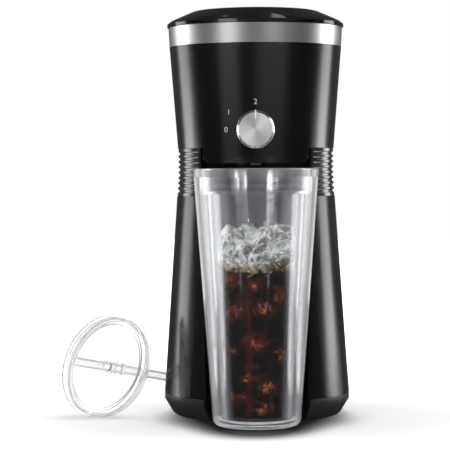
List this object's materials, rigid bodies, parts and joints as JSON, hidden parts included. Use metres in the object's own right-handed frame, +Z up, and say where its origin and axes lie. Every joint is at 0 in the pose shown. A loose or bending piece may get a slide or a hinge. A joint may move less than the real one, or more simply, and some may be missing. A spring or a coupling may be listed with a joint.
{
  "type": "iced coffee maker",
  "caption": "Single-cup iced coffee maker with a hinged lid, brew-strength knob, water reservoir and a double-wall tumbler with drink lid and straw.",
  "frame": {"origin": "centre of the machine's round base on the counter that it stands on", "axes": "+Z up, the control knob and the tumbler face -Y, +X to the right seen from the front"},
  "size_m": [0.2375, 0.2603, 0.332],
  "materials": {
    "gloss_black": "gloss",
    "base_plastic": "satin",
    "ribbed_plastic": "gloss",
    "band_steel": "brushed round the band",
    "knob_chrome": "polished",
    "knob_aluminium": "fine brushed",
    "inner_plastic": "matte",
    "filter_plastic": "matte",
    "filter_steel": "fine mesh",
    "screw_steel": "plain",
    "bracket_steel": "plain",
    "heater_aluminium": "cast",
    "hose_rubber": "matte silicone",
    "seal_rubber": "matte silicone",
    "soft_rubber": "matte",
    "switch_plastic": "gloss",
    "wire_cover": "matte",
    "clear_acrylic": "clear gloss",
    "clear_silicone": "translucent"
  },
  "bodies": {
    "machine": {"base_ring": "base_plastic", "foot_ring": "soft_rubber", "bottom_plate": "base_plastic", "plate_screws": "screw_steel", "lower_housing": "gloss_black", "niche_liner": "gloss_black", "waist_grip": "ribbed_plastic", "upper_housing": "gloss_black", "head_floor": "gloss_black", "drip_nozzle": "inner_plastic", "steel_band": "band_steel", "top_deck": "inner_plastic", "deck_screws": "screw_steel", "water_reservoir": "inner_plastic", "reservoir_seal": "seal_rubber", "brew_basket": "inner_plastic", "filter_frame": "filter_plastic", "filter_rim": "filter_plastic", "filter_mesh": "filter_steel", "valve_body": "inner_plastic", "knob_bushing": "inner_plastic", "hinge_pin": "screw_steel", "heater": "heater_aluminium", "heater_clamps": "bracket_steel", "thermostat": "switch_plastic", "thermal_fuse": "switch_plastic", "supply_hose": "hose_rubber", "feed_hose": "hose_rubber", "riser_hose": "hose_rubber", "check_valve": "inner_plastic", "hose_clips": "bracket_steel", "water_spout": "inner_plastic", "switch_bezel": "switch_plastic", "cord_inlet": "soft_rubber", "terminal_block": "filter_plastic", "wiring": "wire_cover"},
    "lid": {"lid_cover": "gloss_black", "lid_liner": "inner_plastic", "lid_screws": "screw_steel"},
    "knob": {"knob_shell": "knob_chrome", "knob_face": "knob_aluminium", "valve_plug": "filter_plastic", "plug_rings": "seal_rubber"},
    "switch": {"switch_rocker": "switch_plastic"},
    "tumbler": {"tumbler_outer": "clear_acrylic", "tumbler_liner": "clear_acrylic"},
    "drink_lid": {"drink_lid": "clear_acrylic", "lid_gasket": "clear_silicone"},
    "straw": {"straw": "clear_acrylic", "straw_stop": "clear_acrylic"}
  },
  "joints": [
    {"name": "lid_hinge", "type": "hinge", "parent": "machine", "child": "lid", "pos_m": [0, 0.076, 0.319], "axis": [-1, 0, 0], "range_deg": [0, 95]},
    {"name": "knob_turn", "type": "hinge", "parent": "machine", "child": "knob", "pos_m": [0, -0.07, 0.2326], "axis": [0, -1, 0], "range_deg": [0, 90]},
    {"name": "switch_rock", "type": "hinge", "parent": "machine", "child": "switch", "pos_m": [-0.024, 0.06995, 0.046], "axis": [-1, 0, 0], "range_deg": [0, 16]},
    {"name": "tumbler_out", "type": "slide", "parent": "machine", "child": "tumbler", "axis": [0, -1, 0], "range_m": [0, 0.12]},
    {"name": "drink_lid_lift", "type": "slide", "parent": "machine", "child": "drink_lid", "axis": [0, 0, 1], "range_m": [0, 0.06]},
    {"name": "straw_slide", "type": "slide", "parent": "drink_lid", "child": "straw", "axis": [-0.5905, -0.7836, 0.1931], "range_m": [0, 0.011]}
  ]
}
